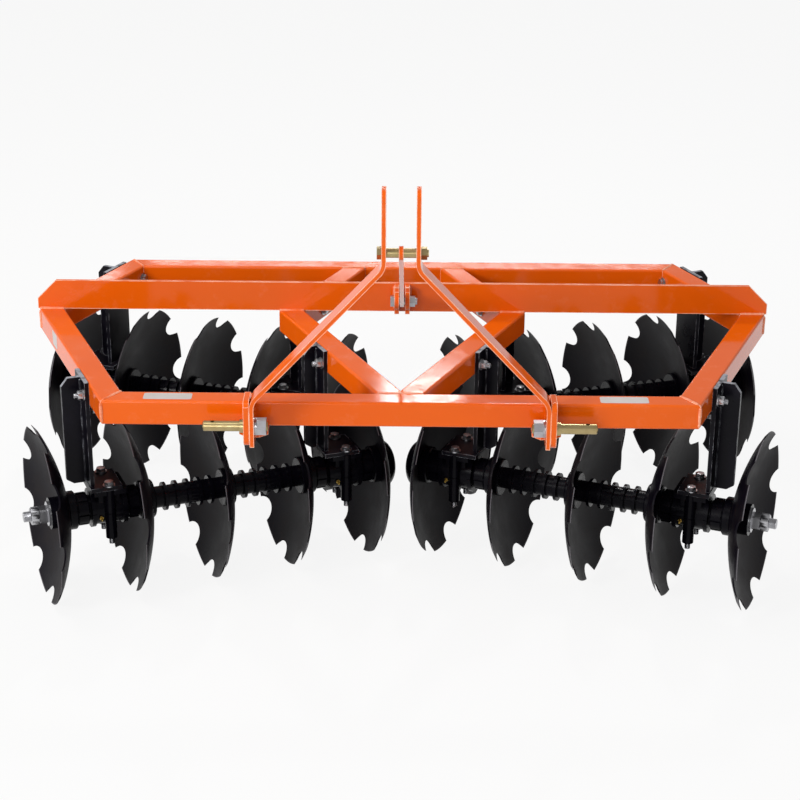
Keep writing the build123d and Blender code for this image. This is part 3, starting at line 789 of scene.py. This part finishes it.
seams = [
    # mitres of the four corners: along the top, and down the outer edge
    ((front_mitre_x, front_y + tube, seam_z), (front_x - corner_in, front_y + corner_in, seam_z)),
    upright_seam(front_x - inset, front_y + inset),
    ((rear_mitre_x, rear_y - tube, seam_z), (rear_x - corner_in, rear_y - corner_in, seam_z)),
    upright_seam(rear_x - inset, rear_y - inset),
    # side bars meeting at the widest place
    upright_seam(wide_x - inset, wide_y),
    # inner bars meeting the front bar and the rear bar
    level_seam(0, inner_front_x, front_y + tube, seam_z),
    upright_seam(inner_front_x, front_y + tube),
    upright_seam(inner_rear_x, rear_y - tube),
    level_seam(inner_rear_x, inner_rear_x - rear_inner_width, rear_y - tube, seam_z),
    # foot of the middle beam, in front of it and behind it on every tube
    level_seam(wide_x, wide_x - side_width, wide_y, top_z),
    level_seam(inner_wide_x, inner_wide_x - inner_width, wide_y, top_z),
    level_seam(beam_back_wide, beam_back_wide - rear_width, beam_back, top_z),
    level_seam(beam_back_inner, beam_back_inner - rear_inner_width, beam_back, top_z),
]
shells = [bead(*pair, frame_bead) for pair in mirrored(seams)]

# Beads that hold the hitch lugs and their base plates to the front bar, and the clevis ears to the beam
lug_plate = 0.016
lug_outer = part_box("mast_strut_right")[1][0] + lug_plate
base_left, base_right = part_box("hitch_lug_right")[0][0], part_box("hitch_lug_right")[1][0]
ear_low, ear_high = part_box("brace_clevis")
ear_gap = 0.009
ear_plate = 0.014
ear_outer = ear_gap + ear_plate
plate_seams = [
    upright_seam(lug_outer, front_y),
    level_seam(base_left, base_right, front_y, low_z - inset),
    ((ear_outer, wide_y, ear_high[2] - corner_in), (ear_outer, wide_y, ear_low[2] + corner_in)),
]
shells += [bead(*pair, plate_bead) for pair in mirrored(plate_seams)]
frame_welds = put("frame_weld_beads", *joined(shells), orange_enamel)
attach(frame_welds, "frame")

# Beads up both sides of every hanger's rib, black as the hanger is
rib_half = 0.006
rib_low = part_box("hanger_front_outer_left")[0][2] + side_plate
shells = []
for hanger in hangers:
    for way in (-1, 1):
        corner = hanger["face"] + side_plate * hanger["out"] + way * rib_half * hanger["along"]
        low = corner + np.array([0, 0, rib_low])
        shells.append(bead(low, corner + np.array([0, 0, top_z - corner_in]), hanger_bead))
hanger_welds = put("hanger_weld_beads", *joined(shells), blacks["black_paint"])
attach(hanger_welds, "frame")


# Blank labels: thin white vinyl stickers, two on the front bar's top and one on the left side bar.
# Vinyl is smooth and slightly glossy, with rounded corners, and age darkens it in places.
label_thickness = 0.0003
label_sunk = 0.0002
label_power = 12
label_points = 64
label_width = 0.044
top_label_length = 0.130
side_label_length = 0.060
label_setback = 0.036
left_label_x = -0.625
right_label_x = 0.601
side_label_y = -0.10
side_label_x = -front_x - side_slope * (side_label_y - front_y)
side_label_drop = 0.030
label_colour = "C8C1BE"
label_aged = "B4ACA6"
label_patch = 0.03
label_roughness = 0.35
LABELS = (
    # middle, direction of its length, direction out of the surface, length
    ((left_label_x, front_y + label_setback, top_z), (1, 0, 0), (0, 0, 1), top_label_length),
    ((right_label_x, front_y + label_setback, top_z), (1, 0, 0), (0, 0, 1), top_label_length),
    ((side_label_x, side_label_y, top_z - side_label_drop),
     (-side_slope, 1, 0), (-1, -side_slope, 0), side_label_length),
)


def make_vinyl():
    """White vinyl: a slow noise ages it a little."""
    material, tree, shader = new_material("white vinyl label")
    place = add(tree, "ShaderNodeTexCoord").outputs["Object"]
    age = add(tree, "ShaderNodeTexNoise", {"Vector": place, "Scale": 1 / label_patch, "Detail": 4.0})
    body = add(tree, "ShaderNodeMix", {
        0: age.outputs["Fac"], 6: linear(label_colour), 7: linear(label_aged)}, data_type="RGBA")
    plug(tree, shader, {"Base Color": body.outputs[2], "Roughness": label_roughness})
    return material


def sticker(centre, long_way, out_way, length):
    """A thin rounded rectangle: a superellipse about its centre, its thickness along out_way."""
    angle = np.linspace(0, 2 * pi, label_points, endpoint=False)
    long_way, out_way = (np.array(way) / np.linalg.norm(way) for way in (long_way, out_way))
    wide_way = np.cross(out_way, long_way)
    power = 2 / label_power
    x = length / 2 * np.sign(np.cos(angle)) * np.abs(np.cos(angle)) ** power
    y = label_width / 2 * np.sign(np.sin(angle)) * np.abs(np.sin(angle)) ** power
    ring = np.array(centre) + x[:, None] * long_way + y[:, None] * wide_way
    return skin(np.stack([ring - label_sunk * out_way, ring + label_thickness * out_way]))


labels = put("blank_labels", *joined([sticker(*row) for row in LABELS]), make_vinyl())
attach(labels, "frame")
